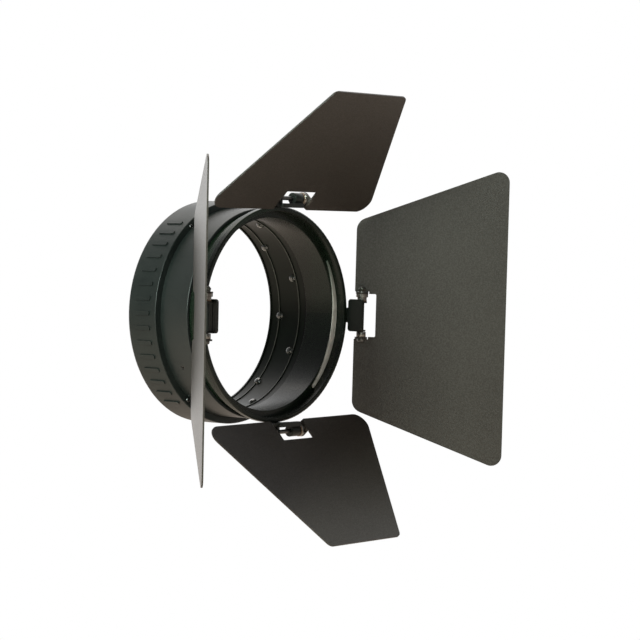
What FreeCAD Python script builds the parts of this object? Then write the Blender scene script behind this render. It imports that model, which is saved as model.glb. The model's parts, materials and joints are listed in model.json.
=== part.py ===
"""Four-leaf barndoor set on a deep mounting barrel, one STEP file per piece.

Millimetres. The light travels along -Y; the barrel axis is the Y axis, +Z is up
and the origin is the centre of the barrel's rear mouth. Everything is drawn in
the rest pose, with each leaf at its own opening angle from the forward axis.
"""

import math
import os

import FreeCAD
import Part

V = FreeCAD.Vector
AXIS = V(0, 1, 0)
ORIGIN = V(0, 0, 0)

# sides: turn about the barrel axis, opening angle, hand of the hinge hardware
SIDES = {
    "top": {"turn": 0, "open": 47.0, "hand": 1, "kind": "tapered"},
    "right": {"turn": 90.8, "open": 40.6, "hand": -1, "kind": "flared"},
    "bottom": {"turn": 178.9, "open": 46.7, "hand": -1, "kind": "tapered"},
    "left": {"turn": 270, "open": 42.2, "hand": 1, "kind": "flared"},
}

# barrel
BORE_R = 90.0
MOUTH_LAND = 1.6
WALL_R = 90.9
LINER_OUT_R = 94.8
FRONT_LAND_Y = (-38.0, -37.0)
MID_LAND_Y = (-12.4, -11.4)
LINER_FRONT_Y = -45.9
LINER_FLANGE_R = 101.0
FLANGE_T = 3.0
FRONT_BAND_R = 97.7
FRONT_BAND_Y = -69.0
REAR_BAND_R = 104.4
REAR_BAND_Y = -35.5
SKIN_T = 3.0
REAR_ROUND = 2.4

# grip bars on the rear band
BAR_ANGLES = [180 + 7.5 * k for k in range(-7, 8)]
BAR_WIDTH = 4.2
BAR_HEIGHT = 1.0
BAR_Y = (-28.0, -9.0)

# grip studs in the bore
STUD_COUNT = 8
STUD_HEAD_R = 4.0
STUD_SHANK_R = 2.4
STUD_SEAT_R = 92.2
STUD_END_R = 94.6
STUD_TIP_R = 89.6
STUD_EDGE_R = 90.7
STUD_ROWS = {"front": {"y": -32.9, "phase": 20.6}, "rear": {"y": -12.6, "phase": -2.8}}

# screws that join the liner to the shell
LINER_SCREW_COUNT = 6
LINER_SCREW_R = 97.6
LINER_SCREW_LEN = 6.0

# screws through the step that join the two bands
STEP_SCREW_ANGLES = (53, 127, 233, 307)
STEP_SCREW_R = 99.9
STEP_FLANGE_R = 101.2
STEP_FLANGE_T = 3.0

# screws that hold the hinge ring in the barrel
KEEPER_Y = -52.5
KEEPER_COUNT = 3
KEEPER_PHASE = 90.0
KEEPER_TIP_R = 93.2

# hinge ring
RING_FRONT_Y = -90.0
RING_FLANGE_R = 100.0
RING_FLANGE_T = 6.0
COLLAR_R = 97.0
COLLAR_Y = -76.5
COUNTERBORE_R = 95.3
COUNTERBORE_Y = -80.0
SLEEVE_OUT_R = 94.4
SLEEVE_IN_R = 89.4
SLEEVE_Y = -47.0
KEEPER_GROOVE_R = 92.9
KEEPER_GROOVE_W = 4.0

# filter clip: two crescent springs, each an outer circle less a wider, shifted one
CLIP_OUT_R = 95.0
CLIP_CUT_R = 108.2
CLIP_SHIFT = 19.0
CLIP_T = 1.4
CLIP_ENDS = (-36.0, 44.0)
CLIP_MIDDLES = (-12.0, 168.0)

# hinges: the pin runs along local X at this radius and station
PIN_RADIUS = 107.5
PIN_Y = -101.7
PIN_R = 2.0
PIN_HOLE_R = 2.05
PLATE_Z = (100.0, 102.6)
PLATE_HALF = 15.3
PLATE_Y = (-108.9, -91.0)
PLATE_GROOVES = [(-105.4, -104.6), (-100.4, -99.4)]
GROOVE_DEPTH = 0.6
HEM_Z = 98.8
HEM_Y = -102.4
NECK_HALF = 7.0
NECK_Y = -84.2
GUIDE_R = 4.2
LUG_HALF = 3.4
BRACKET_SCREW_X = 3.8
BRACKET_SCREW_Y = -87.0

# the tapered leaves turn on one long bolt, the flared ones on a stub at each end
HINGES = {
    "tapered": {
        "knuckle": (4.8, 16.4), "knuckle_r": 5.2, "guide": (-15.0, -12.0), "washer": (16.4, 17.2),
        "washer_r": 5.6, "spacer_r": 5.8, "shanks": [(-22.0, 27.4)],
    },
    "flared": {
        "knuckle": (11.9, 13.5), "knuckle_r": 4.8, "guide": (-15.2, -13.6), "washer": (13.5, 14.3),
        "washer_r": 4.6, "spacer_r": 4.6, "shanks": [(-22.0, -13.6), (11.9, 27.4)],
    },
}

# leaves, in the hinge frame: s runs from the pin to the outer edge
SHEET_T = 1.5
CUT_HALF = 20.5
EAR_HALF = 6.0
BEND_IN = 0.8
LEAVES = {
    "tapered": {
        "s0": -6.9, "s1": 134.7, "hinge_half": 112.2, "outer_half": 48.7,
        "offset": -7.4, "hinge_round": 12.0, "outer_round": 7.0, "cut_depth": 22.3,
    },
    "flared": {
        "s0": -6.8, "s1": 137.9, "hinge_half": 89.8, "outer_half": 145.0,
        "offset": 10.8, "hinge_round": 12.0, "outer_round": 10.0, "cut_depth": 20.4,
    },
}

# hinge hardware along the pin
EAR_X = 20.5
SPACER_HEAD_X = 17.4
SPACER_HEAD_R = 5.8
SLIM_SPACER_X = (-20.5, -15.5)
SLIM_SPACER_R = 4.6
HEAD_T = 3.0
HEAD_R = 3.7
NUT_WASHER_R = 3.7
NUT_WASHER_T = 0.8
NUT_T = 3.8
NUT_FLAT = 7.0


def rounded_outline(points, rounds):
    """A closed wire through 2-D points with an arc of the given radius at each corner."""
    count = len(points)
    pieces = []
    for k in range(count):
        before, here, after = points[k - 1], points[k], points[(k + 1) % count]
        a = V(before[0] - here[0], before[1] - here[1], 0).normalize()
        b = V(after[0] - here[0], after[1] - here[1], 0).normalize()
        corner = V(here[0], here[1], 0)
        radius = rounds[k]
        if radius <= 0:
            pieces.append((corner, None, corner))
            continue
        half = a.getAngle(b) / 2
        run = radius / math.tan(half)
        middle = (a + b).normalize() * (radius / math.sin(half))
        centre = corner + middle
        nearest = centre - (a + b).normalize() * radius
        pieces.append((corner + a * run, nearest, corner + b * run))
    edges = []
    for k in range(count):
        start, nearest, end = pieces[k]
        if nearest is not None:
            edges.append(Part.Arc(start, nearest, end).toShape())
        following = pieces[(k + 1) % count][0]
        if (following - end).Length > 1e-6:
            edges.append(Part.LineSegment(end, following).toShape())
    return Part.Wire(edges)


def turned(points, rounds=None):
    """A solid of revolution about the Y axis from (radius, y) points."""
    rounds = rounds or [0] * len(points)
    face = Part.Face(rounded_outline(points, rounds))
    return face.revolve(ORIGIN, AXIS, 360)


def around(shape, degrees):
    """A copy of the shape turned about the barrel axis from the top towards the right."""
    copy = shape.copy()
    copy.rotate(ORIGIN, AXIS, degrees)
    return copy


def radial(shape, degrees):
    """A copy of a shape drawn along +X, moved to an angle measured from +X towards +Z."""
    return around(shape, -degrees)


def cylinder_x(radius, x0, x1, y=0.0, z=0.0):
    return Part.makeCylinder(radius, x1 - x0, V(x0, y, z), V(1, 0, 0))


def block(x, y, z):
    """A box between two values on each axis, given in either order."""
    x, y, z = sorted(x), sorted(y), sorted(z)
    return Part.makeBox(x[1] - x[0], y[1] - y[0], z[1] - z[0], V(x[0], y[0], z[0]))


def hex_x(flats, x0, x1):
    radius = flats / math.sqrt(3)
    ring = [V(x0, radius * math.cos(math.radians(60 * k)), radius * math.sin(math.radians(60 * k)))
            for k in range(7)]
    return Part.Face(Part.makePolygon(ring)).extrude(V(x1 - x0, 0, 0))


# ---------------------------------------------------------------- barrel


def stud():
    """One rubber grip stud: a domed head on the liner wall and a shank through it."""
    shank = cylinder_x(STUD_SHANK_R, STUD_SEAT_R, STUD_END_R)
    side = cylinder_x(STUD_HEAD_R, STUD_EDGE_R, STUD_SEAT_R)
    rise = STUD_EDGE_R - STUD_TIP_R
    sphere_r = (STUD_HEAD_R ** 2 + rise ** 2) / (2 * rise)
    ball = Part.makeSphere(sphere_r, V(STUD_TIP_R + sphere_r, 0, 0))
    cap = ball.common(cylinder_x(STUD_HEAD_R, STUD_TIP_R - 1, STUD_EDGE_R))
    return shank.fuse([side, cap]).removeSplitter()


def stud_pocket():
    """What a stud's seat takes out of the liner."""
    seat = cylinder_x(STUD_HEAD_R + 0.05, STUD_TIP_R - 4, STUD_SEAT_R)
    return seat.fuse(cylinder_x(STUD_SHANK_R, STUD_SEAT_R - 1, LINER_OUT_R + 1))


def stud_rows(shape):
    """Copies of a shape at every stud of each row."""
    rows = {}
    for name, row in STUD_ROWS.items():
        rows[name] = []
        for k in range(STUD_COUNT):
            one = radial(shape, row["phase"] + 360 * k / STUD_COUNT)
            one.translate(V(0, row["y"], 0))
            rows[name].append(one)
    return rows


def liner_screw():
    """Countersunk screw along -Y, with a cross recess."""
    head = Part.makeCone(2.8, 1.5, 1.5, V(0, 0, 0), V(0, -1, 0))
    shank = Part.makeCylinder(1.5, LINER_SCREW_LEN, V(0, 0, 0), V(0, -1, 0))
    recess = block((-1.7, 1.7), (-0.9, 0.1), (-0.35, 0.35))
    recess = recess.fuse(block((-0.35, 0.35), (-0.9, 0.1), (-1.7, 1.7)))
    return head.fuse(shank).removeSplitter(), recess


def liner_screws():
    solids, holes = [], []
    whole, recess = liner_screw()
    for k in range(LINER_SCREW_COUNT):
        angle = 360 * k / LINER_SCREW_COUNT + 30
        for target, shape in ((solids, whole.cut(recess)), (holes, whole)):
            copy = shape.copy()
            copy.translate(V(LINER_SCREW_R, 0, 0))
            target.append(radial(copy, angle))
    return solids, holes


def keeper_screws():
    """Radial set screws whose tips run in the groove of the hinge ring."""
    thread = cylinder_x(2.0, LINER_OUT_R, FRONT_BAND_R - 0.3)
    tip = cylinder_x(1.6, KEEPER_TIP_R, LINER_OUT_R)
    socket = hex_x(2.0, FRONT_BAND_R - 1.8, FRONT_BAND_R + 1)
    hole = cylinder_x(2.0, LINER_OUT_R - 1, FRONT_BAND_R + 1)
    solids, holes = [], []
    for k in range(KEEPER_COUNT):
        for target, shape in ((solids, thread.fuse(tip).cut(socket)), (holes, hole)):
            copy = shape.copy()
            copy.translate(V(0, KEEPER_Y, 0))
            target.append(radial(copy, KEEPER_PHASE + 360 * k / KEEPER_COUNT))
    return solids, holes


def step_screws():
    """Pan screws that enter the step from the front."""
    head = Part.makeCylinder(2.1, 1.3, V(STEP_SCREW_R, REAR_BAND_Y - 1.3, 0), AXIS)
    shank = Part.makeCylinder(1.2, 5.5, V(STEP_SCREW_R, REAR_BAND_Y, 0), AXIS)
    cross = block((STEP_SCREW_R - 1.4, STEP_SCREW_R + 1.4),
                  (REAR_BAND_Y - 2, REAR_BAND_Y - 0.6), (-0.3, 0.3))
    cross = cross.fuse(block((STEP_SCREW_R - 0.3, STEP_SCREW_R + 0.3),
                             (REAR_BAND_Y - 2, REAR_BAND_Y - 0.6), (-1.4, 1.4)))
    solids = [radial(head.fuse(shank).cut(cross), a) for a in STEP_SCREW_ANGLES]
    holes = [radial(shank, a) for a in STEP_SCREW_ANGLES]
    return solids, holes


def grip_bars():
    bars = []
    for angle in BAR_ANGLES:
        face = Part.Face(rounded_outline(
            [(-BAR_WIDTH / 2, BAR_Y[0]), (BAR_WIDTH / 2, BAR_Y[0]),
             (BAR_WIDTH / 2, BAR_Y[1]), (-BAR_WIDTH / 2, BAR_Y[1])],
            [1.6, 1.6, 1.6, 1.6]))
        bar = face.extrude(V(0, 0, BAR_HEIGHT + 1.2))
        bar.translate(V(0, 0, REAR_BAND_R - 1.2))
        bars.append(around(bar, 90 - angle))
    return bars


def front_band(holes):
    """Narrow band the hinge ring runs in, with a flange that the step screws hold."""
    body = turned(
        [
            (FRONT_BAND_R, FRONT_BAND_Y),
            (FRONT_BAND_R, REAR_BAND_Y + SKIN_T),
            (STEP_FLANGE_R, REAR_BAND_Y + SKIN_T),
            (STEP_FLANGE_R, REAR_BAND_Y + SKIN_T + STEP_FLANGE_T),
            (LINER_OUT_R, REAR_BAND_Y + SKIN_T + STEP_FLANGE_T),
            (LINER_OUT_R, FRONT_BAND_Y),
        ],
        [0.8, 0, 0, 0.6, 0, 0.4],
    )
    return body.cut(Part.makeCompound(holes)).removeSplitter()


def rear_band(holes):
    """Wide outer skin with grip bars, the step wall and the rear screw flange."""
    inner = REAR_BAND_R - SKIN_T
    body = turned(
        [
            (FRONT_BAND_R, REAR_BAND_Y),
            (REAR_BAND_R, REAR_BAND_Y),
            (REAR_BAND_R, 0),
            (inner, 0),
            (inner, -FLANGE_T),
            (LINER_OUT_R, -FLANGE_T),
            (LINER_OUT_R, -FLANGE_T - 4),
            (inner, -FLANGE_T - 4),
            (inner, REAR_BAND_Y + SKIN_T),
            (FRONT_BAND_R, REAR_BAND_Y + SKIN_T),
        ],
        [0, 0.8, REAR_ROUND, 0, 0, 0, 0, 1, 0, 0],
    )
    return body.fuse(grip_bars()).cut(Part.makeCompound(holes)).removeSplitter()


def bore_liner(holes):
    """Inner sleeve: mouth flange and three narrow lands at the bore size."""
    body = turned(
        [
            (BORE_R, 0),
            (LINER_FLANGE_R, 0),
            (LINER_FLANGE_R, -FLANGE_T),
            (LINER_OUT_R, -FLANGE_T),
            (LINER_OUT_R, LINER_FRONT_Y),
            (WALL_R, LINER_FRONT_Y),
            (WALL_R, FRONT_LAND_Y[0]),
            (BORE_R, FRONT_LAND_Y[0]),
            (BORE_R, FRONT_LAND_Y[1]),
            (WALL_R, FRONT_LAND_Y[1]),
            (WALL_R, MID_LAND_Y[0]),
            (BORE_R, MID_LAND_Y[0]),
            (BORE_R, MID_LAND_Y[1]),
            (WALL_R, MID_LAND_Y[1]),
            (WALL_R, -MOUTH_LAND),
            (BORE_R, -MOUTH_LAND),
        ],
        [0, 0.5, 0, 0, 0, 0.4, 0, 0, 0, 0, 0, 0, 0, 0, 0, 0],
    )
    return body.cut(Part.makeCompound(holes)).removeSplitter()


# ---------------------------------------------------------------- hinge ring


def hinge_ring(holes):
    """Front flange and collar on a sleeve that turns inside the barrel's front band."""
    groove = (KEEPER_Y - KEEPER_GROOVE_W / 2, KEEPER_Y + KEEPER_GROOVE_W / 2)
    flange_back = RING_FRONT_Y + RING_FLANGE_T
    body = turned(
        [
            (COUNTERBORE_R, RING_FRONT_Y),
            (RING_FLANGE_R, RING_FRONT_Y),
            (RING_FLANGE_R, flange_back),
            (COLLAR_R, flange_back),
            (COLLAR_R, COLLAR_Y),
            (SLEEVE_OUT_R, COLLAR_Y),
            (SLEEVE_OUT_R, groove[0]),
            (KEEPER_GROOVE_R, groove[0]),
            (KEEPER_GROOVE_R, groove[1]),
            (SLEEVE_OUT_R, groove[1]),
            (SLEEVE_OUT_R, SLEEVE_Y),
            (SLEEVE_IN_R, SLEEVE_Y),
            (SLEEVE_IN_R, COUNTERBORE_Y),
            (COUNTERBORE_R, COUNTERBORE_Y),
        ],
        [0.8, 1.2, 0.8, 0.8, 0.6, 0.6, 0, 0, 0, 0, 0.5, 0.5, 0.4, 0],
    )
    return body.cut(Part.makeCompound(holes)).removeSplitter()


def filter_clip():
    """Two crescent springs on the counterbore floor, half a turn apart."""
    low = COUNTERBORE_Y - CLIP_T
    crescent = Part.makeCylinder(CLIP_OUT_R, CLIP_T, V(0, low, 0), AXIS)
    crescent = crescent.cut(Part.makeCylinder(CLIP_CUT_R, CLIP_T + 2, V(-CLIP_SHIFT, low - 1, 0), AXIS))
    span = (low - 1, COUNTERBORE_Y + 1)
    for end, side in zip(CLIP_ENDS, (-1, 1)):
        crescent = crescent.cut(radial(block((0, 200), span, (0, 200 * side)), end))
    return [radial(crescent, middle) for middle in CLIP_MIDDLES]


def bracket_screw():
    head = Part.makeCylinder(2.3, 1.5, V(0, BRACKET_SCREW_Y, PLATE_Z[1]), V(0, 0, 1))
    shank = Part.makeCylinder(1.25, 6.2, V(0, BRACKET_SCREW_Y, PLATE_Z[1] - 6.2), V(0, 0, 1))
    slot = block((-1.5, 1.5), (BRACKET_SCREW_Y - 0.3, BRACKET_SCREW_Y + 0.3),
                 (PLATE_Z[1] + 0.8, PLATE_Z[1] + 2))
    cross = block((-0.3, 0.3), (BRACKET_SCREW_Y - 1.5, BRACKET_SCREW_Y + 1.5),
                  (PLATE_Z[1] + 0.8, PLATE_Z[1] + 2))
    return head.fuse(shank).cut(slot.fuse(cross)), shank


def bracket_screws():
    solids, holes = [], []
    for x in (-BRACKET_SCREW_X, BRACKET_SCREW_X):
        for target, shape in zip((solids, holes), bracket_screw()):
            copy = shape.copy()
            copy.translate(V(x, 0, 0))
            target.append(copy)
    return solids, holes


def bracket(kind, hand, holes):
    """T-shaped hinge plate: hemmed front edge, pressed grooves, a friction and a guide knuckle."""
    hinge = HINGES[kind]
    outline = rounded_outline(
        [
            (-PLATE_HALF, PLATE_Y[0]),
            (PLATE_HALF, PLATE_Y[0]),
            (PLATE_HALF, PLATE_Y[1]),
            (NECK_HALF, PLATE_Y[1]),
            (NECK_HALF, NECK_Y),
            (-NECK_HALF, NECK_Y),
            (-NECK_HALF, PLATE_Y[1]),
            (-PLATE_HALF, PLATE_Y[1]),
        ],
        [3.0, 3.0, 3.0, 0.7, 1.5, 1.5, 0.7, 3.0],
    )
    plate = Part.Face(outline).extrude(V(0, 0, PLATE_Z[1] - HEM_Z))
    plate.translate(V(0, 0, HEM_Z))
    plate = plate.cut(block((-20, 20), (HEM_Y, -80), (HEM_Z - 1, PLATE_Z[0])))
    clear = ((hinge["guide"][1] + 0.6) * hand, (hinge["knuckle"][0] - 0.6) * hand)
    for groove in PLATE_GROOVES:
        plate = plate.cut(block(clear, groove, (PLATE_Z[1] - GROOVE_DEPTH, PLATE_Z[1] + 1)))
    pieces = []
    for span, radius in ((hinge["knuckle"], hinge["knuckle_r"]), (hinge["guide"], GUIDE_R)):
        x0, x1 = sorted((span[0] * hand, span[1] * hand))
        pieces.append(cylinder_x(radius, x0, x1, PIN_Y, PIN_RADIUS))
        pieces.append(block((x0, x1), (PIN_Y - LUG_HALF, PIN_Y + LUG_HALF), (PLATE_Z[0], PIN_RADIUS - 2)))
    hole = cylinder_x(PIN_HOLE_R, -30, 30, PIN_Y, PIN_RADIUS)
    whole = plate.fuse(pieces).cut(hole).cut(Part.makeCompound(holes))
    return whole.removeSplitter()


# ---------------------------------------------------------------- leaves
# Drawn with the pin on the X axis and the leaf pointing along -Y, then placed.


def ear(kind, side):
    """A tab folded from the edge of the cut-out, with a round end about the pin."""
    leaf = LEAVES[kind]
    offset = leaf["offset"]
    fold = -1 if offset > 0 else 1
    face = offset + fold * SHEET_T / 2
    centre = face + fold * BEND_IN
    out_r = BEND_IN + SHEET_T
    bend_x = CUT_HALF + out_r
    ring = Part.makeCylinder(out_r, 2 * EAR_HALF, V(bend_x, -EAR_HALF, centre), AXIS)
    ring = ring.cut(Part.makeCylinder(BEND_IN, 2 * EAR_HALF, V(bend_x, -EAR_HALF, centre), AXIS))
    quarter = ring.common(block(
        (CUT_HALF - 1, bend_x), (-EAR_HALF, EAR_HALF), (centre, centre - fold * (out_r + 1))))
    plate = block((CUT_HALF, CUT_HALF + SHEET_T), (-EAR_HALF, EAR_HALF), (centre, 0))
    if centre * fold > 0:
        plate = block((CUT_HALF, CUT_HALF + SHEET_T), (-EAR_HALF, EAR_HALF), (centre, centre + fold))
    eye = cylinder_x(EAR_HALF, CUT_HALF, CUT_HALF + SHEET_T)
    limit = block((0, 100), (-50, 50), (centre, centre + fold * 100))
    tab = quarter.fuse([plate, eye.common(limit)])
    tab = tab.cut(cylinder_x(PIN_HOLE_R, 0, 100))
    if side < 0:
        tab = tab.mirror(ORIGIN, V(1, 0, 0))
    return tab


def leaf_sheet(kind):
    leaf = LEAVES[kind]
    hinge, outer = leaf["hinge_half"], leaf["outer_half"]
    s0, s1, cut = leaf["s0"], leaf["s1"], leaf["cut_depth"]
    outline = rounded_outline(
        [
            (-hinge, -s0),
            (-CUT_HALF, -s0),
            (-CUT_HALF, -s0 - cut),
            (CUT_HALF, -s0 - cut),
            (CUT_HALF, -s0),
            (hinge, -s0),
            (outer, -s1),
            (-outer, -s1),
        ],
        [
            leaf["hinge_round"], 0.6, 1.2, 1.2, 0.6,
            leaf["hinge_round"], leaf["outer_round"], leaf["outer_round"],
        ],
    )
    sheet = Part.Face(outline).extrude(V(0, 0, SHEET_T))
    sheet.translate(V(0, 0, leaf["offset"] - SHEET_T / 2))
    relief = CUT_HALF + BEND_IN + SHEET_T
    for side in (-1, 1):
        sheet = sheet.cut(block(
            ((CUT_HALF - 1) * side, relief * side), (-EAR_HALF - 0.8, EAR_HALF + 5), (-50, 50)))
    return sheet.fuse([ear(kind, 1), ear(kind, -1)]).removeSplitter()


def hinge_bolt(kind):
    """The long bolt, or a headed stub and a pressed-in stub."""
    start = -EAR_X - SHEET_T
    outer = start - HEAD_T
    head = cylinder_x(HEAD_R, outer, start)
    head = head.makeFillet(1.2, [e for e in head.Edges if abs(e.BoundBox.XMax - outer) < 1e-4])
    recess = block((outer - 1, outer + 1.6), (-2.0, 2.0), (-0.4, 0.4))
    recess = recess.fuse(block((outer - 1, outer + 1.6), (-0.4, 0.4), (-2.0, 2.0)))
    shanks = [cylinder_x(PIN_R, x0, x1) for x0, x1 in HINGES[kind]["shanks"]]
    shanks[0] = shanks[0].fuse(head).cut(recess).removeSplitter()
    return shanks


def lock_nut():
    start = EAR_X + SHEET_T + NUT_WASHER_T
    body = hex_x(NUT_FLAT, start, start + NUT_T - 1.2)
    collar = cylinder_x(NUT_FLAT / 2 - 0.2, start + NUT_T - 1.2, start + NUT_T)
    return body.fuse(collar).cut(cylinder_x(PIN_HOLE_R, 0, 100)).removeSplitter()


def nut_washer():
    start = EAR_X + SHEET_T
    ring = cylinder_x(NUT_WASHER_R, start, start + NUT_WASHER_T)
    return ring.cut(cylinder_x(PIN_HOLE_R, 0, 100))


def friction_washer(kind):
    hinge = HINGES[kind]
    return cylinder_x(hinge["washer_r"], *hinge["washer"]).cut(cylinder_x(PIN_HOLE_R, 0, 100))


def spacers(kind):
    hinge = HINGES[kind]
    wide = cylinder_x(hinge["spacer_r"], hinge["washer"][1], EAR_X)
    wide = wide.fuse(cylinder_x(SPACER_HEAD_R, SPACER_HEAD_X, EAR_X)).cut(cylinder_x(PIN_HOLE_R, 0, 100))
    slim = cylinder_x(SLIM_SPACER_R, *SLIM_SPACER_X).cut(cylinder_x(PIN_HOLE_R, -100, 0))
    return [wide, slim]


def placed(shape, side, angle=None):
    """Move a shape from the hinge frame to its side of the ring, opened by the angle."""
    info = SIDES[side]
    angle = info["open"] if angle is None else angle
    copy = shape.copy()
    copy.rotate(ORIGIN, V(1, 0, 0), -angle)
    copy.translate(V(0, PIN_Y, PIN_RADIUS))
    return around(copy, info["turn"])


def handed(shape, side):
    if SIDES[side]["hand"] > 0:
        return shape
    return shape.mirror(ORIGIN, V(1, 0, 0))


# ---------------------------------------------------------------- output


def as_group(solids):
    return Part.makeCompound([s.Solids[0] if len(s.Solids) == 1 else s for s in solids])


def build():
    """Every node by name."""
    nodes = {}
    studs = stud_rows(stud())
    pockets = stud_rows(stud_pocket())
    screws, screw_holes = liner_screws()
    keepers, keeper_holes = keeper_screws()
    steps, step_holes = step_screws()
    nodes["front_band"] = front_band(keeper_holes + step_holes)
    nodes["rear_band"] = rear_band(screw_holes + step_holes)
    nodes["bore_liner"] = bore_liner(pockets["front"] + pockets["rear"] + screw_holes)
    nodes["grip_studs_front"] = as_group(studs["front"])
    nodes["grip_studs_rear"] = as_group(studs["rear"])
    nodes["liner_screws"] = as_group(screws)
    nodes["keeper_screws"] = as_group(keepers)
    nodes["step_screws"] = as_group(steps)

    plate_screws, plate_holes = bracket_screws()
    ring_holes = [around(hole, info["turn"]) for info in SIDES.values() for hole in plate_holes]
    nodes["hinge_ring"] = hinge_ring(ring_holes)
    nodes["filter_clip"] = as_group(filter_clip())
    for side, info in SIDES.items():
        kind, turn = info["kind"], info["turn"]
        nodes["hinge_bracket_" + side] = around(bracket(kind, info["hand"], plate_holes), turn)
        nodes["bracket_screws_" + side] = as_group([around(s, turn) for s in plate_screws])
        nodes["leaf_" + side] = placed(leaf_sheet(kind), side)
        nodes["hinge_bolt_" + side] = as_group([placed(handed(s, side), side) for s in hinge_bolt(kind)])
        nodes["lock_nut_" + side] = placed(handed(lock_nut(), side), side)
        nodes["nut_washer_" + side] = placed(handed(nut_washer(), side), side)
        nodes["friction_washer_" + side] = placed(handed(friction_washer(kind), side), side)
        nodes["spacers_" + side] = as_group([placed(handed(s, side), side) for s in spacers(kind)])
    return nodes


def main():
    os.makedirs("parts", exist_ok=True)
    for name, shape in build().items():
        print(name, "solids", len(shape.Solids), "valid", shape.isValid(), "volume", round(shape.Volume))
        shape.exportStep("parts/" + name + ".step")


main()
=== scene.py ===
"""Four-leaf barndoor set on a deep barrel: camera, light, finishes and fine hardware.

Everything is in metres in the part's own frame: the light travels along -Y, +Z is up and
the origin is the centre of the barrel's rear mouth. The CAD nodes stay where they are and
get their finishes here; the hinge hardware, the outer screws and the studs are rebuilt in finer mesh.
"""

import json
import math

import bmesh
import bpy
from mathutils import Matrix, Vector

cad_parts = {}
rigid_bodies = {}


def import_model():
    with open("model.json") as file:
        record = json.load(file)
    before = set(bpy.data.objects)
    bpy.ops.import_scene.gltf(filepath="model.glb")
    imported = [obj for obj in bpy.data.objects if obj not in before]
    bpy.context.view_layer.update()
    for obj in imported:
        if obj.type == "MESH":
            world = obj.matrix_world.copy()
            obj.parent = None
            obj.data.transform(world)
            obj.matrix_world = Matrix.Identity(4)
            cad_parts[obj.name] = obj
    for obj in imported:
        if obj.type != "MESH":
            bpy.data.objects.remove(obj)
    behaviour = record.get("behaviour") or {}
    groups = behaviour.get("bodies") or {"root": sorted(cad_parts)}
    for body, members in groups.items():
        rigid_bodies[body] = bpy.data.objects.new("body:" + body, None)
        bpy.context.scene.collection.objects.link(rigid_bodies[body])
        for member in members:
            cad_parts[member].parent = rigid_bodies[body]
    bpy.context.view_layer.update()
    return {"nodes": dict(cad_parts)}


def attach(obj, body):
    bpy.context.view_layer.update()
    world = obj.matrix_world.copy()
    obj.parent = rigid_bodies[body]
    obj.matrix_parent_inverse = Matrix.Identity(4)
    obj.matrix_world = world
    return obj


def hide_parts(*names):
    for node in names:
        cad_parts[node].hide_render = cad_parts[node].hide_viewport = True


MM = 0.001

# leaves: degrees round the ring, degrees open, mirrored or not, and the shape of the sheet
SIDES = {
    "top": {"turn": 0, "open": 47.0, "hand": 1, "kind": "tapered"},
    "right": {"turn": 90.8, "open": 40.6, "hand": -1, "kind": "flared"},
    "bottom": {"turn": 178.9, "open": 46.7, "hand": -1, "kind": "tapered"},
    "left": {"turn": 270, "open": 42.2, "hand": 1, "kind": "flared"},
}

# hinges, in mm: the pin runs along local X
PIN_RADIUS = 107.5
PIN_Y = -101.7
PIN_R = 2.0
PIN_END = 27.4
THREAD_START = 17.2
THREAD_PITCH = 0.7
THREAD_DEPTH = 0.28
THREAD_STEP = 0.1
HOLE_GAP = 0.06
EAR_INNER = 20.5
EAR_OUTER = 22.0
NUT_WASHER_T = 0.8
NUT_WASHER_R = 3.7
NUT_FLAT = 7.0
SPACER_HEAD_X = 17.4
SPACER_HEAD_R = 5.8
SLIM_SPACER_X = (-20.5, -15.5)
SLIM_SPACER_R = 4.6
HINGES = {
    "tapered": {"washer": (16.4, 17.2), "washer_r": 5.6, "spacer_r": 5.8},
    "flared": {"washer": (13.5, 14.3), "washer_r": 4.6, "spacer_r": 4.6},
}

# screws and studs, in mm
BRACKET_SCREW_X = 3.8
BRACKET_SCREW_Y = -87.0
BRACKET_TOP = 102.6
STEP_SCREW_ANGLES = (53, 127, 233, 307)
STEP_SCREW_R = 99.9
STEP_Y = -35.5
STUD_COUNT = 8
STUD_ROWS = {"front": {"y": -32.9, "phase": 20.6}, "rear": {"y": -12.6, "phase": -2.8}}
STUD_TIP_R = 88.2
STUD_SEAT_R = 92.2
STUD_END_R = 94.6
BORE_WALL_R = 90.9

# edges: crease angles in degrees, the sheet edge's bevel in mm, the weld distance in metres
CREASE_ANGLE = 32
STUD_CREASE_ANGLE = 50
BEVEL_ANGLE = 40
SHEET_EDGE = 0.22
WELD_DISTANCE = 0.000002

# camera: angles in degrees, distances and lens in mm, about a point on the barrel's axis
CAMERA_AZ = -49.045
CAMERA_EL = 1.868
CAMERA_ROLL = 1.153
CAMERA_DISTANCE = 2388.853
CAMERA_RIGHT = 39.746
CAMERA_UP = -5.019
CAMERA_TARGET_Y = -90.0
CAMERA_LENS = 145.45
SENSOR_WIDTH = 36.0
CAMERA_CLIP = (0.05, 60.0)

# softboxes, in metres and watts
COOL_LIGHT = (0.84, 1.0, 0.93)
WARM_LIGHT = (1.0, 0.90, 0.80)
SOFTBOXES = {
    "left_softbox": {
        "place": (-1.80, -0.47, 0.68), "target": (0, -0.1, 0), "size": (0.34, 0.7),
        "power": 55.0, "colour": COOL_LIGHT,
    },
    "camera_softbox": {
        "place": (-1.42, -1.80, 0.45), "target": (0.15, -0.15, 0.08), "size": (0.6, 0.6),
        "power": 2.4, "colour": COOL_LIGHT,
    },
    "top_softbox": {
        "place": (0.3, 0.3, 1.5), "target": (0, -0.1, 0), "size": (1.2, 1.2),
        "power": 10.0, "colour": WARM_LIGHT,
    },
}

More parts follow.
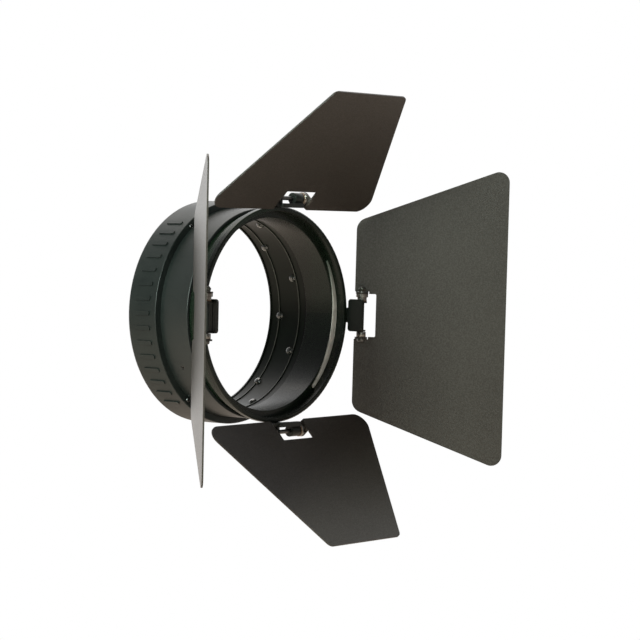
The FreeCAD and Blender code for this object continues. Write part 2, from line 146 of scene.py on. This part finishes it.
# the backdrop's direction from the object, and how bright the room is towards it (by cosine) and
# how much the floor glows towards it (by metres): from, to, least, most
BACKDROP_DIRECTION = (0.755, 0.655, 0.0)
BACKDROP_RAMP = (0.1, 0.85, 0.18, 1.5)
FLOOR_GLOW = (0.5, 1.4, 0.0, 0.9)
FLOOR_TONE = (0.66, 0.54, 0.47)
FLOOR_ROUGHNESS = 0.9
FLOOR_SPECULAR = 0.1
FLOOR_Z = -0.34
FLOOR_HALF = 12.0
WHITE = (1, 1, 1, 1)

# tones, and where they begin and end, in metres: radii from the barrel's axis, stations along Y, heights
# painted highlight along the tops of the bore's lands: its tone, its radii, and where it begins along Y
LAND_HIGHLIGHT_TONE = (0.11, 0.12, 0.105)
LAND_HIGHLIGHT_R = (0.0902, 0.0905)
LAND_HIGHLIGHT_FROM_Y = -0.005
# painted shade in the gap between the liner and the sleeve: its tone and the stations along Y where it
# begins
GAP_SHADE_TONE = (0.0008, 0.0010, 0.0008)
GAP_SHADE_Y = (-0.0443, -0.0445)
# painted shade on the clip: a darker tone and the heights over which it fades in towards the top
CLIP_SHADE_TONE = (0.10, 0.13, 0.10)
CLIP_SHADE_Z = (0.005, 0.055)
# painted sheen on the front band: a lighter tone that stands in for its stronger reflection, and where it
# begins along Y
FRONT_BAND_SHEEN_TONE = (0.0135, 0.0152, 0.0142)
FRONT_BAND_SHEEN_Y = (-0.0385, -0.0405)
LIGHTER = 1.35
TARNISH = 0.72
COAT_ROUGHNESS = 0.12


def clear_default_objects():
    for obj in list(bpy.data.objects):
        bpy.data.objects.remove(obj)


# ---------------------------------------------------------------- camera, floor, light


def add_camera():
    az, el, roll = (math.radians(v) for v in (CAMERA_AZ, CAMERA_EL, CAMERA_ROLL))
    back = Vector((math.sin(az) * math.cos(el), -math.cos(az) * math.cos(el), math.sin(el)))
    right = Vector((math.cos(az), math.sin(az), 0))
    up = back.cross(right)
    turned_right = right * math.cos(roll) + up * math.sin(roll)
    turned_up = up * math.cos(roll) - right * math.sin(roll)
    place = back * CAMERA_DISTANCE + turned_right * CAMERA_RIGHT + turned_up * CAMERA_UP
    place.y += CAMERA_TARGET_Y
    data = bpy.data.cameras.new("camera")
    data.lens = CAMERA_LENS
    data.sensor_width = SENSOR_WIDTH
    data.clip_start, data.clip_end = CAMERA_CLIP
    camera = bpy.data.objects.new("camera", data)
    bpy.context.scene.collection.objects.link(camera)
    columns = Matrix((turned_right, turned_up, back)).transposed().to_4x4()
    camera.matrix_world = Matrix.Translation(place * MM) @ columns
    bpy.context.scene.camera = camera
    bpy.context.scene.view_settings.view_transform = "Standard"


def add_softbox(name, place, target, size, power, colour):
    """A rectangular area light at a place, aimed at a target; size is its width and height."""
    data = bpy.data.lights.new(name, "AREA")
    data.shape = "RECTANGLE"
    data.size, data.size_y = size
    data.energy = power
    data.color = colour
    light = bpy.data.objects.new(name, data)
    bpy.context.scene.collection.objects.link(light)
    aim = Vector(target) - Vector(place)
    light.matrix_world = Matrix.Translation(place) @ aim.to_track_quat("-Z", "Y").to_matrix().to_4x4()
    light.visible_camera = False


def add_lights():
    for name, values in SOFTBOXES.items():
        add_softbox(name, **values)


def set_range(node, limits):
    """Fill in a Map Range node from (from low, from high, to low, to high)."""
    for key, value in zip(("From Min", "From Max", "To Min", "To Max"), limits):
        node.inputs[key].default_value = value


def towards_backdrop(tree, coords, limits, interpolation):
    """A strength that grows as the coordinates point or lie further towards the backdrop."""
    along = tree.nodes.new("ShaderNodeVectorMath")
    along.operation = "DOT_PRODUCT"
    along.inputs[1].default_value = BACKDROP_DIRECTION
    ramp = tree.nodes.new("ShaderNodeMapRange")
    ramp.interpolation_type = interpolation
    set_range(ramp, limits)
    place = tree.nodes.new("ShaderNodeTexCoord")
    tree.links.new(place.outputs[coords], along.inputs[0])
    tree.links.new(along.outputs["Value"], ramp.inputs["Value"])
    return ramp.outputs["Result"]


def show_white_to_camera(tree, lit, white, surface):
    """The camera sees the white shader, and all other rays meet the lit one."""
    path = tree.nodes.new("ShaderNodeLightPath")
    choose = tree.nodes.new("ShaderNodeMixShader")
    tree.links.new(path.outputs["Is Camera Ray"], choose.inputs[0])
    tree.links.new(lit.outputs[0], choose.inputs[1])
    tree.links.new(white.outputs[0], choose.inputs[2])
    tree.links.new(choose.outputs[0], surface)


def add_world():
    """Dim room with a bright backdrop facing the camera; the camera itself sees plain white."""
    world = bpy.data.worlds.new("studio")
    bpy.context.scene.world = world
    world.use_nodes = True
    tree = world.node_tree
    tree.nodes.clear()
    out = tree.nodes.new("ShaderNodeOutputWorld")
    seen, room = (tree.nodes.new("ShaderNodeBackground") for _ in range(2))
    for background in (seen, room):
        background.inputs["Color"].default_value = WHITE
    strength = towards_backdrop(tree, "Generated", BACKDROP_RAMP, "SMOOTHSTEP")
    tree.links.new(strength, room.inputs["Strength"])
    show_white_to_camera(tree, room, seen, out.inputs["Surface"])


def add_floor():
    """Pale floor that the camera sees as plain white and that lights the object only softly."""
    mesh = bpy.data.meshes.new("floor")
    corners = [(x * FLOOR_HALF, y * FLOOR_HALF, FLOOR_Z) for x, y in ((-1, -1), (1, -1), (1, 1), (-1, 1))]
    mesh.from_pydata(corners, [], [(0, 1, 2, 3)])
    floor = bpy.data.objects.new("floor", mesh)
    bpy.context.scene.collection.objects.link(floor)
    material = bpy.data.materials.new("floor_white")
    material.use_nodes = True
    tree = material.node_tree
    shader = tree.nodes["Principled BSDF"]
    shader.inputs["Base Color"].default_value = (*FLOOR_TONE, 1)
    shader.inputs["Roughness"].default_value = FLOOR_ROUGHNESS
    shader.inputs["Specular IOR Level"].default_value = FLOOR_SPECULAR
    shader.inputs["Emission Color"].default_value = WHITE
    glow = towards_backdrop(tree, "Object", FLOOR_GLOW, "LINEAR")
    tree.links.new(glow, shader.inputs["Emission Strength"])
    white = tree.nodes.new("ShaderNodeEmission")
    show_white_to_camera(tree, shader, white, tree.nodes["Material Output"].inputs["Surface"])
    mesh.materials.append(material)


# ---------------------------------------------------------------- material helpers


class Nodes:
    """Short calls for building one material's node tree."""

    def __init__(self, name):
        self.material = bpy.data.materials.new(name)
        self.material.use_nodes = True
        self.tree = self.material.node_tree
        self.shader = self.tree.nodes["Principled BSDF"]
        coords = self.tree.nodes.new("ShaderNodeTexCoord")
        self.coords = coords.outputs["Object"]

    def link(self, source, target):
        self.tree.links.new(source, target)

    def noise(self, scale, detail=2.0, rough=0.5, seed=0.0):
        node = self.tree.nodes.new("ShaderNodeTexNoise")
        node.noise_dimensions = "4D"
        node.inputs["W"].default_value = seed
        node.inputs["Scale"].default_value = scale
        node.inputs["Detail"].default_value = detail
        node.inputs["Roughness"].default_value = rough
        self.link(self.coords, node.inputs["Vector"])
        return node.outputs["Fac"]

    def spread(self, value, low, high, to_low=0.0, to_high=1.0):
        node = self.tree.nodes.new("ShaderNodeMapRange")
        set_range(node, (low, high, to_low, to_high))
        self.link(value, node.inputs["Value"])
        return node.outputs["Result"]

    def math(self, operation, a, b):
        node = self.tree.nodes.new("ShaderNodeMath")
        node.operation = operation
        for slot, value in enumerate((a, b)):
            if isinstance(value, (int, float)):
                node.inputs[slot].default_value = value
            else:
                self.link(value, node.inputs[slot])
        return node.outputs[0]

    def blend(self, factor, first, second):
        node = self.tree.nodes.new("ShaderNodeMix")
        node.data_type = "RGBA"
        self.link(factor, node.inputs["Factor"])
        for key, colour in (("A", first), ("B", second)):
            socket = [s for s in node.inputs if s.name == key and s.type == "RGBA"][0]
            if isinstance(colour, tuple):
                socket.default_value = (*colour, 1)
            else:
                self.link(colour, socket)
        return [s for s in node.outputs if s.type == "RGBA"][0]

    def bump(self, height, distance, strength):
        node = self.tree.nodes.new("ShaderNodeBump")
        node.inputs["Distance"].default_value = distance
        node.inputs["Strength"].default_value = strength
        self.link(height, node.inputs["Height"])
        return node.outputs["Normal"]

    def axis(self, letter):
        """The place along one of the part's axes."""
        split = self.tree.nodes.new("ShaderNodeSeparateXYZ")
        self.link(self.coords, split.inputs[0])
        return split.outputs[letter]

    def ring_mask(self, low, high):
        """1 inside the low radius about the Y axis and ahead of the rear mouth, 0 beyond the high one."""
        flat = self.tree.nodes.new("ShaderNodeVectorMath")
        flat.operation = "MULTIPLY"
        flat.inputs[1].default_value = (1, 0, 1)
        self.link(self.coords, flat.inputs[0])
        length = self.tree.nodes.new("ShaderNodeVectorMath")
        length.operation = "LENGTH"
        self.link(flat.outputs["Vector"], length.inputs[0])
        near = self.spread(length.outputs["Value"], low, high, 1.0, 0.0)
        ahead = self.math("LESS_THAN", self.axis("Y"), LAND_HIGHLIGHT_FROM_Y)
        return self.math("MULTIPLY", near, ahead)

    def set(self, **values):
        """Set shader inputs by short name, to a number or to another node's output."""
        names = {
            "base": "Base Color", "rough": "Roughness", "metal": "Metallic", "spec": "Specular IOR Level",
            "normal": "Normal", "coat": "Coat Weight", "coat_rough": "Coat Roughness",
        }
        for key, value in values.items():
            socket = self.shader.inputs[names[key]]
            if isinstance(value, (int, float)):
                socket.default_value = value
            else:
                self.link(value, socket)


def powder_coat():
    """Fine-textured black powder coat: orange-peel grain with a fine pepper of lighter flecks."""
    n = Nodes("powder_coat")
    grain = n.noise(900, 3, 0.6)
    flecks = n.spread(n.noise(720, 2, 0.6, seed=3.0), 0.40, 0.64)
    cloud = n.noise(14, 3, 0.55, seed=7.0)
    base = n.blend(n.spread(cloud, 0.3, 0.7), (0.0225, 0.0172, 0.0130), (0.0280, 0.0222, 0.0172))
    base = n.blend(n.math("MULTIPLY", flecks, 0.36), base, (0.075, 0.068, 0.060))
    n.set(
        base=base,
        rough=n.spread(grain, 0.3, 0.7, 0.30, 0.42),
        normal=n.bump(grain, 0.00018, 0.7),
        spec=0.5,
    )
    return n.material


def cast_paint():
    """Black paint over die-cast metal: slightly pebbled, cool green, with a painted sheen that makes the
    front band greyer.
    """
    n = Nodes("cast_paint")
    pebble = n.noise(620, 2, 0.5)
    cloud = n.noise(30, 2, 0.5, seed=2.0)
    base = n.blend(n.spread(cloud, 0.3, 0.7), (0.0062, 0.0090, 0.0080), (0.0100, 0.0130, 0.0116))
    # painted sheen: the front band gets a lighter tone that stands in for its stronger reflection
    base = n.blend(n.spread(n.axis("Y"), *FRONT_BAND_SHEEN_Y), base, FRONT_BAND_SHEEN_TONE)
    n.set(
        base=base,
        rough=n.spread(cloud, 0.3, 0.7, 0.36, 0.46),
        normal=n.bump(pebble, 0.00016, 0.45),
        spec=0.40,
    )
    return n.material


def plain_paint(name, base, rough, grain, spec=0.5, land_highlight=None, gap_shade=None, coat=0.0):
    """A dark finish with fine grain and a little drift in tone.

    grain is its noise scale and its depth in metres. land_highlight is a (low, high) radius from the
    barrel's axis, in metres, where a painted highlight lies along the tops of the lands. gap_shade is a
    (back, front) station along Y beyond which a painted shade line of the gap at the liner's front edge
    shows.
    """
    n = Nodes(name)
    grain_scale, grain_depth = grain
    bumps = n.noise(grain_scale, 2, 0.5)
    cloud = n.noise(60, 2, 0.5, seed=5.0)
    lighter = tuple(c * LIGHTER for c in base)
    colour = n.blend(n.spread(cloud, 0.35, 0.65), base, lighter)
    # painted highlight: a lighter tone along the tops of the bore's lands
    if land_highlight:
        colour = n.blend(n.ring_mask(*land_highlight), colour, LAND_HIGHLIGHT_TONE)
    # painted shade: a near-black line in the gap at the liner's front edge
    if gap_shade:
        colour = n.blend(n.spread(n.axis("Y"), *gap_shade), colour, GAP_SHADE_TONE)
    n.set(
        base=colour,
        rough=n.spread(bumps, 0.3, 0.7, rough - 0.05, rough + 0.05),
        normal=n.bump(bumps, grain_depth, 0.5),
        spec=spec,
        coat=coat,
        coat_rough=COAT_ROUGHNESS,
    )
    return n.material


def metal(name, base, rough, metallic=1.0, shade_above=None):
    """Bare or plated metal with small scratches and uneven tarnish.

    shade_above is a (low, high) height between which the metal turns to a darker tone: painted shade,
    darker towards the top.
    """
    n = Nodes(name)
    scratches = n.noise(900, 3, 0.6)
    cloud = n.noise(140, 2, 0.5, seed=4.0)
    darker = tuple(c * TARNISH for c in base)
    colour = n.blend(n.spread(cloud, 0.35, 0.65), darker, base)
    # painted shade: the metal is painted darker towards its top, between these heights
    if shade_above:
        colour = n.blend(n.spread(n.axis("Z"), *shade_above), colour, CLIP_SHADE_TONE)
    n.set(
        base=colour,
        rough=n.spread(cloud, 0.3, 0.7, rough - 0.06, rough + 0.08),
        metal=metallic,
        normal=n.bump(scratches, 0.00004, 0.4),
    )
    return n.material


# ---------------------------------------------------------------- fine hardware
# Hinge pieces are drawn with the pin on the X axis and the leaf along -Y, in mm, then placed.


def hex_radius(flats):
    """Radius of a hexagon at an angle, from its width across flats."""
    def radius(angle):
        turn = (angle + math.pi / 6) % (math.pi / 3) - math.pi / 6
        return flats / 2 / math.cos(turn)
    return radius


def cross_radius(arm, half_width):
    """Radius of a cross-shaped recess at an angle."""
    def radius(angle):
        turn = (angle + math.pi / 4) % (math.pi / 2) - math.pi / 4
        side = abs(math.sin(turn)) or 1e-9
        return min(arm / math.cos(turn), half_width / side)
    return radius


def thread_radius(x):
    """Radius of the hinge bolt's thread at one station, as a function of the angle."""
    def radius(angle):
        phase = (x / THREAD_PITCH - angle / math.tau) % 1.0
        return PIN_R - THREAD_DEPTH * abs(2 * phase - 1)
    return radius


def spin(stations, segments=48, closed=False):
    """A bmesh of rings about the X axis, from (x, radius) stations.

    A radius may be a function of the angle. A closed profile joins its last ring to its first.
    """
    mesh = bmesh.new()
    rings = []
    for x, radius in stations:
        ring = []
        for k in range(segments):
            angle = math.tau * k / segments
            r = radius(angle) if callable(radius) else radius
            ring.append(mesh.verts.new((x, r * math.cos(angle), r * math.sin(angle))))
        rings.append(ring)
    last = len(rings) if closed else len(rings) - 1
    for a in range(last):
        near, far = rings[a], rings[(a + 1) % len(rings)]
        for k in range(segments):
            following = (k + 1) % segments
            mesh.faces.new((near[k], near[following], far[following], far[k]))
    if not closed:
        mesh.faces.new(rings[0])
        mesh.faces.new(rings[-1])
    bmesh.ops.recalc_face_normals(mesh, faces=mesh.faces)
    return mesh


def hinge_matrix(side):
    """From the hinge frame in mm to the part's frame in metres."""
    info = SIDES[side]
    turn = Matrix.Rotation(math.radians(info["turn"]), 4, "Y")
    pin = Matrix.Translation((0, PIN_Y, PIN_RADIUS))
    opening = Matrix.Rotation(-math.radians(info["open"]), 4, "X")
    hand = Matrix.Diagonal((info["hand"], 1, 1, 1))
    return Matrix.Scale(MM, 4) @ turn @ pin @ opening @ hand


def piece(name, meshes, material, body, node, crease=CREASE_ANGLE):
    """One object out of (bmesh, matrix) pairs, which rides on a body and stands for a CAD node."""
    whole = bmesh.new()
    for mesh, matrix in meshes:
        mesh.transform(matrix)
        if matrix.determinant() < 0:
            bmesh.ops.reverse_faces(mesh, faces=mesh.faces)
        copy = bpy.data.meshes.new("part")
        mesh.to_mesh(copy)
        whole.from_mesh(copy)
        bpy.data.meshes.remove(copy)
        mesh.free()
    for face in whole.faces:
        face.smooth = True
    for edge in whole.edges:
        if len(edge.link_faces) == 2:
            edge.smooth = edge.calc_face_angle() < math.radians(crease)
    data = bpy.data.meshes.new(name)
    whole.to_mesh(data)
    whole.free()
    obj = bpy.data.objects.new(name, data)
    bpy.context.scene.collection.objects.link(obj)
    data.materials.append(material)
    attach(obj, body)
    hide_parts(node)


def bolt_end():
    """Stations of the M4 thread and the bolt's chamfered tip."""
    x0, x1 = THREAD_START, PIN_END - 0.6
    steps = int((x1 - x0) / THREAD_STEP)
    places = [x0 + (x1 - x0) * k / steps for k in range(steps + 1)]
    thread = [(x, thread_radius(x)) for x in places]
    return thread + [(PIN_END - 0.35, PIN_R - 0.15), (PIN_END, PIN_R - 0.5)]


def bolt_head_and_shank(end):
    """Pan head with a cross recess and a smooth shank up to a place."""
    face = -EAR_OUTER
    recess = cross_radius(1.9, 0.45)
    small = cross_radius(1.3, 0.32)
    return [
        (face - 1.2, small), (face - 2.9, recess), (face - 3.0, 2.35), (face - 2.85, 2.9),
        (face - 2.3, 3.4), (face - 1.4, 3.68), (face - 0.25, 3.7), (face, 3.6),
        (face, PIN_R), (end, PIN_R),
    ]


def hinge_bolt(kind):
    """The tapered leaves' long bolt, or the flared ones' headed and pressed-in stubs."""
    shank_end = THREAD_START - 0.2
    if kind == "tapered":
        return [spin(bolt_head_and_shank(shank_end) + bolt_end(), 36)]
    stub = [(11.95, PIN_R - 0.3), (12.1, PIN_R), (shank_end, PIN_R)] + bolt_end()
    return [spin(bolt_head_and_shank(-13.7) + [(-13.6, PIN_R - 0.2)], 36), spin(stub, 36)]


def lock_nut():
    """Hexagon nut with chamfered corners, and its insert collar."""
    start = EAR_OUTER + NUT_WASHER_T
    flats = hex_radius(NUT_FLAT)

    def chamfered(limit):
        return lambda angle: min(flats(angle), limit)

    return spin([
        (start + 0.3, PIN_R + 0.05), (start, PIN_R + 0.4), (start, 3.45), (start + 0.35, chamfered(3.85)),
        (start + 0.7, chamfered(4.2)), (start + 2.2, chamfered(4.2)), (start + 2.5, chamfered(3.9)),
        (start + 2.7, 3.35), (start + 3.2, 3.3), (start + 3.6, 3.1), (start + 3.8, 2.75),
        (start + 3.75, 2.35), (start + 3.3, PIN_R + 0.05),
    ], 48, closed=True)


def disc(x0, x1, outer, edge):
    """A washer or spacer on the hinge bolt, with broken edges."""
    inner = PIN_R + HOLE_GAP
    return spin([
        (x0, inner + edge), (x0, outer - edge), (x0 + edge * 0.4, outer - edge * 0.3), (x0 + edge, outer),
        (x1 - edge, outer), (x1 - edge * 0.4, outer - edge * 0.3), (x1, outer - edge), (x1, inner + edge),
        (x1 - edge, inner), (x0 + edge, inner),
    ], 48, closed=True)


def wide_spacer(x0, x1, outer):
    """Turned spacer: two shallow grooves in its waist and a wider head against the leaf's ear."""
    inner = PIN_R + HOLE_GAP
    head = SPACER_HEAD_X
    stations = [(x0, inner + 0.2), (x0, outer - 0.35), (x0 + 0.35, outer)]
    for middle in (0.4, 0.7):
        x = x0 + (head - x0) * middle
        floor = outer - 0.18
        stations += [(x - 0.22, outer), (x - 0.12, floor), (x + 0.12, floor), (x + 0.22, outer)]
    stations += [
        (head, outer), (head, SPACER_HEAD_R - 0.3), (head + 0.3, SPACER_HEAD_R),
        (x1 - 0.3, SPACER_HEAD_R), (x1, SPACER_HEAD_R - 0.3), (x1, inner + 0.2),
        (x1 - 0.2, inner), (x0 + 0.2, inner),
    ]
    return spin(stations, 48, closed=True)


def pan_screw(head_r, head_h, arm, shank_r, shank_len):
    """Pan screw along +X: the head above x = 0 and the shank below it."""
    return spin([
        (head_h * 0.35, cross_radius(arm * 0.7, 0.26)), (head_h * 0.97, cross_radius(arm, 0.36)),
        (head_h, head_r * 0.62), (head_h * 0.9, head_r * 0.80), (head_h * 0.6, head_r * 0.95),
        (head_h * 0.2, head_r), (0, head_r * 0.98), (0, shank_r), (-shank_len, shank_r),
        (-shank_len - 0.3, shank_r - 0.3),
    ], 48)


def grip_stud():
    """Rubber stud along -X from its seat: a soft dome with a rolled foot."""
    top = STUD_TIP_R
    return spin([
        (STUD_END_R, 2.3), (STUD_SEAT_R, 2.35), (STUD_SEAT_R, 3.9), (BORE_WALL_R - 0.15, 3.95),
        (BORE_WALL_R - 0.45, 3.85), (BORE_WALL_R - 0.7, 3.55), (top + 1.1, 3.25), (top + 0.62, 2.75),
        (top + 0.3, 2.05), (top + 0.1, 1.25), (top + 0.02, 0.6), (top, 0.15),
    ], 40)


def hinge_parts(kind):
    """One hinge's hardware, as (piece's name, CAD node's name, slot, meshes)."""
    hinge = HINGES[kind]
    x0, x1 = hinge["washer"]
    thin_washer = disc(EAR_OUTER, EAR_OUTER + NUT_WASHER_T, NUT_WASHER_R, 0.18)
    fibre_washer = disc(x0, x1, hinge["washer_r"], 0.12)
    if kind == "flared":
        wide = wide_spacer(x1, EAR_INNER, hinge["spacer_r"])
    else:
        wide = disc(x1, EAR_INNER, hinge["spacer_r"], 0.35)
    slim = disc(*SLIM_SPACER_X, SLIM_SPACER_R, 0.4)
    return [
        ("bolt", "hinge_bolt", "bolt", hinge_bolt(kind)),
        ("nut", "lock_nut", "nut", [lock_nut()]),
        ("thin_washer", "nut_washer", "spacer", [thin_washer]),
        ("fibre_washer", "friction_washer", "washer", [fibre_washer]),
        ("spacer_pair", "spacers", "spacer", [wide, slim]),
    ]


def add_hinge_hardware(finishes):
    """Bolt, nut, washers and spacers of each leaf, which move with the leaf."""
    for side, info in SIDES.items():
        place = hinge_matrix(side)
        for name, node, slot, meshes in hinge_parts(info["kind"]):
            placed = [(mesh, place) for mesh in meshes]
            piece(f"{name}_{side}", placed, finishes[slot], "leaf_" + side, f"{node}_{side}")


def add_screws(finishes):
    """Pan screws of the hinge brackets and of the step."""
    for side, info in SIDES.items():
        turn = Matrix.Rotation(math.radians(info["turn"]), 4, "Y")
        meshes = []
        for x in (-BRACKET_SCREW_X, BRACKET_SCREW_X):
            upright = Matrix.Rotation(-math.pi / 2, 4, "Y")
            place = Matrix.Translation((x, BRACKET_SCREW_Y, BRACKET_TOP)) @ upright
            meshes.append((pan_screw(2.3, 1.5, 1.5, 1.25, 4.6), Matrix.Scale(MM, 4) @ turn @ place))
        piece("bracket_screw_pair_" + side, meshes, finishes["screw"], "hinge_ring",
              "bracket_screws_" + side)
    meshes = []
    for angle in STEP_SCREW_ANGLES:
        turn = Matrix.Rotation(-math.radians(angle), 4, "Y")
        place = Matrix.Translation((STEP_SCREW_R, STEP_Y, 0)) @ Matrix.Rotation(-math.pi / 2, 4, "Z")
        meshes.append((pan_screw(2.1, 1.3, 1.4, 1.2, 5.2), Matrix.Scale(MM, 4) @ turn @ place))
    piece("step_screw_set", meshes, finishes["screw"], "barrel", "step_screws")


def add_studs(finishes):
    """Both rows of rubber grip studs at their free height."""
    for name, row in STUD_ROWS.items():
        meshes = []
        for k in range(STUD_COUNT):
            turn = Matrix.Rotation(-math.radians(row["phase"] + 360 * k / STUD_COUNT), 4, "Y")
            place = Matrix.Translation((0, row["y"], 0))
            meshes.append((grip_stud(), Matrix.Scale(MM, 4) @ turn @ place))
        piece("rubber_studs_" + name, meshes, finishes["stud"], "barrel", "grip_studs_" + name,
              STUD_CREASE_ANGLE)


# ---------------------------------------------------------------- assignment

SLOT_BY_START = {
    "rear_band": "barrel", "front_band": "barrel", "bore_liner": "liner", "hinge_ring": "ring",
    "filter_clip": "clip", "grip_studs": "stud", "liner_screws": "screw", "keeper_screws": "screw",
    "step_screws": "screw", "bracket_screws": "screw", "hinge_bracket": "bracket", "leaf": "leaf",
    "hinge_bolt": "bolt", "lock_nut": "nut", "nut_washer": "spacer", "friction_washer": "washer",
    "spacers": "spacer",
}


def slot_of(node):
    """The record's material slot of a CAD node, from the start of its name."""
    return next(slot for start, slot in SLOT_BY_START.items() if node.startswith(start))


def give(obj, material):
    obj.data.materials.clear()
    obj.data.materials.append(material)


def soften_edges(obj):
    """Weld the CAD mesh's split corners and break its sharp edges, without touching the mesh itself."""
    weld = obj.modifiers.new("weld", "WELD")
    weld.merge_threshold = WELD_DISTANCE
    bevel = obj.modifiers.new("bevel", "BEVEL")
    bevel.width = SHEET_EDGE * MM
    bevel.segments = 2
    bevel.limit_method = "ANGLE"
    bevel.angle_limit = math.radians(BEVEL_ANGLE)
    bevel.harden_normals = True


def make_finishes():
    """One material for each of the record's material slots."""
    return {
        "barrel": cast_paint(),
        "liner": plain_paint("liner_paint", base=(0.0032, 0.0072, 0.0036), rough=0.34,
                             grain=(900, 0.00008), spec=0.20, land_highlight=LAND_HIGHLIGHT_R, gap_shade=GAP_SHADE_Y),
        "ring": plain_paint("ring_anodised", base=(0.0036, 0.0076, 0.0040), rough=0.28,
                            grain=(1200, 0.00005), spec=0.34),
        "clip": metal("clip_steel", base=(0.86, 0.85, 0.79), rough=0.46, metallic=0.35, shade_above=CLIP_SHADE_Z),
        "leaf": powder_coat(),
        "bracket": plain_paint("bracket_black_zinc", base=(0.009, 0.011, 0.009), rough=0.38,
                               grain=(1000, 0.00006), spec=0.35),
        "bolt": metal("bolt_black_zinc", base=(0.17, 0.17, 0.165), rough=0.30),
        "nut": metal("nut_black_oxide", base=(0.10, 0.10, 0.085), rough=0.36),
        "spacer": metal("spacer_nickel", base=(0.36, 0.34, 0.31), rough=0.30),
        "washer": plain_paint("washer_fibre", base=(0.16, 0.10, 0.065), rough=0.75, grain=(800, 0.0001)),
        "stud": plain_paint("stud_rubber", base=(0.045, 0.05, 0.045), rough=0.24,
                            grain=(700, 0.00004), spec=0.9, coat=1.0),
        "screw": metal("screw_black_oxide", base=(0.12, 0.12, 0.12), rough=0.40),
    }


def main():
    clear_default_objects()
    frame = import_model()
    add_camera()
    add_world()
    add_lights()
    add_floor()

    finishes = make_finishes()
    for name, obj in frame["nodes"].items():
        give(obj, finishes[slot_of(name)])
        if name.startswith(("leaf_", "hinge_bracket_", "filter_clip")):
            soften_edges(obj)
    add_hinge_hardware(finishes)
    add_screws(finishes)
    add_studs(finishes)


main()
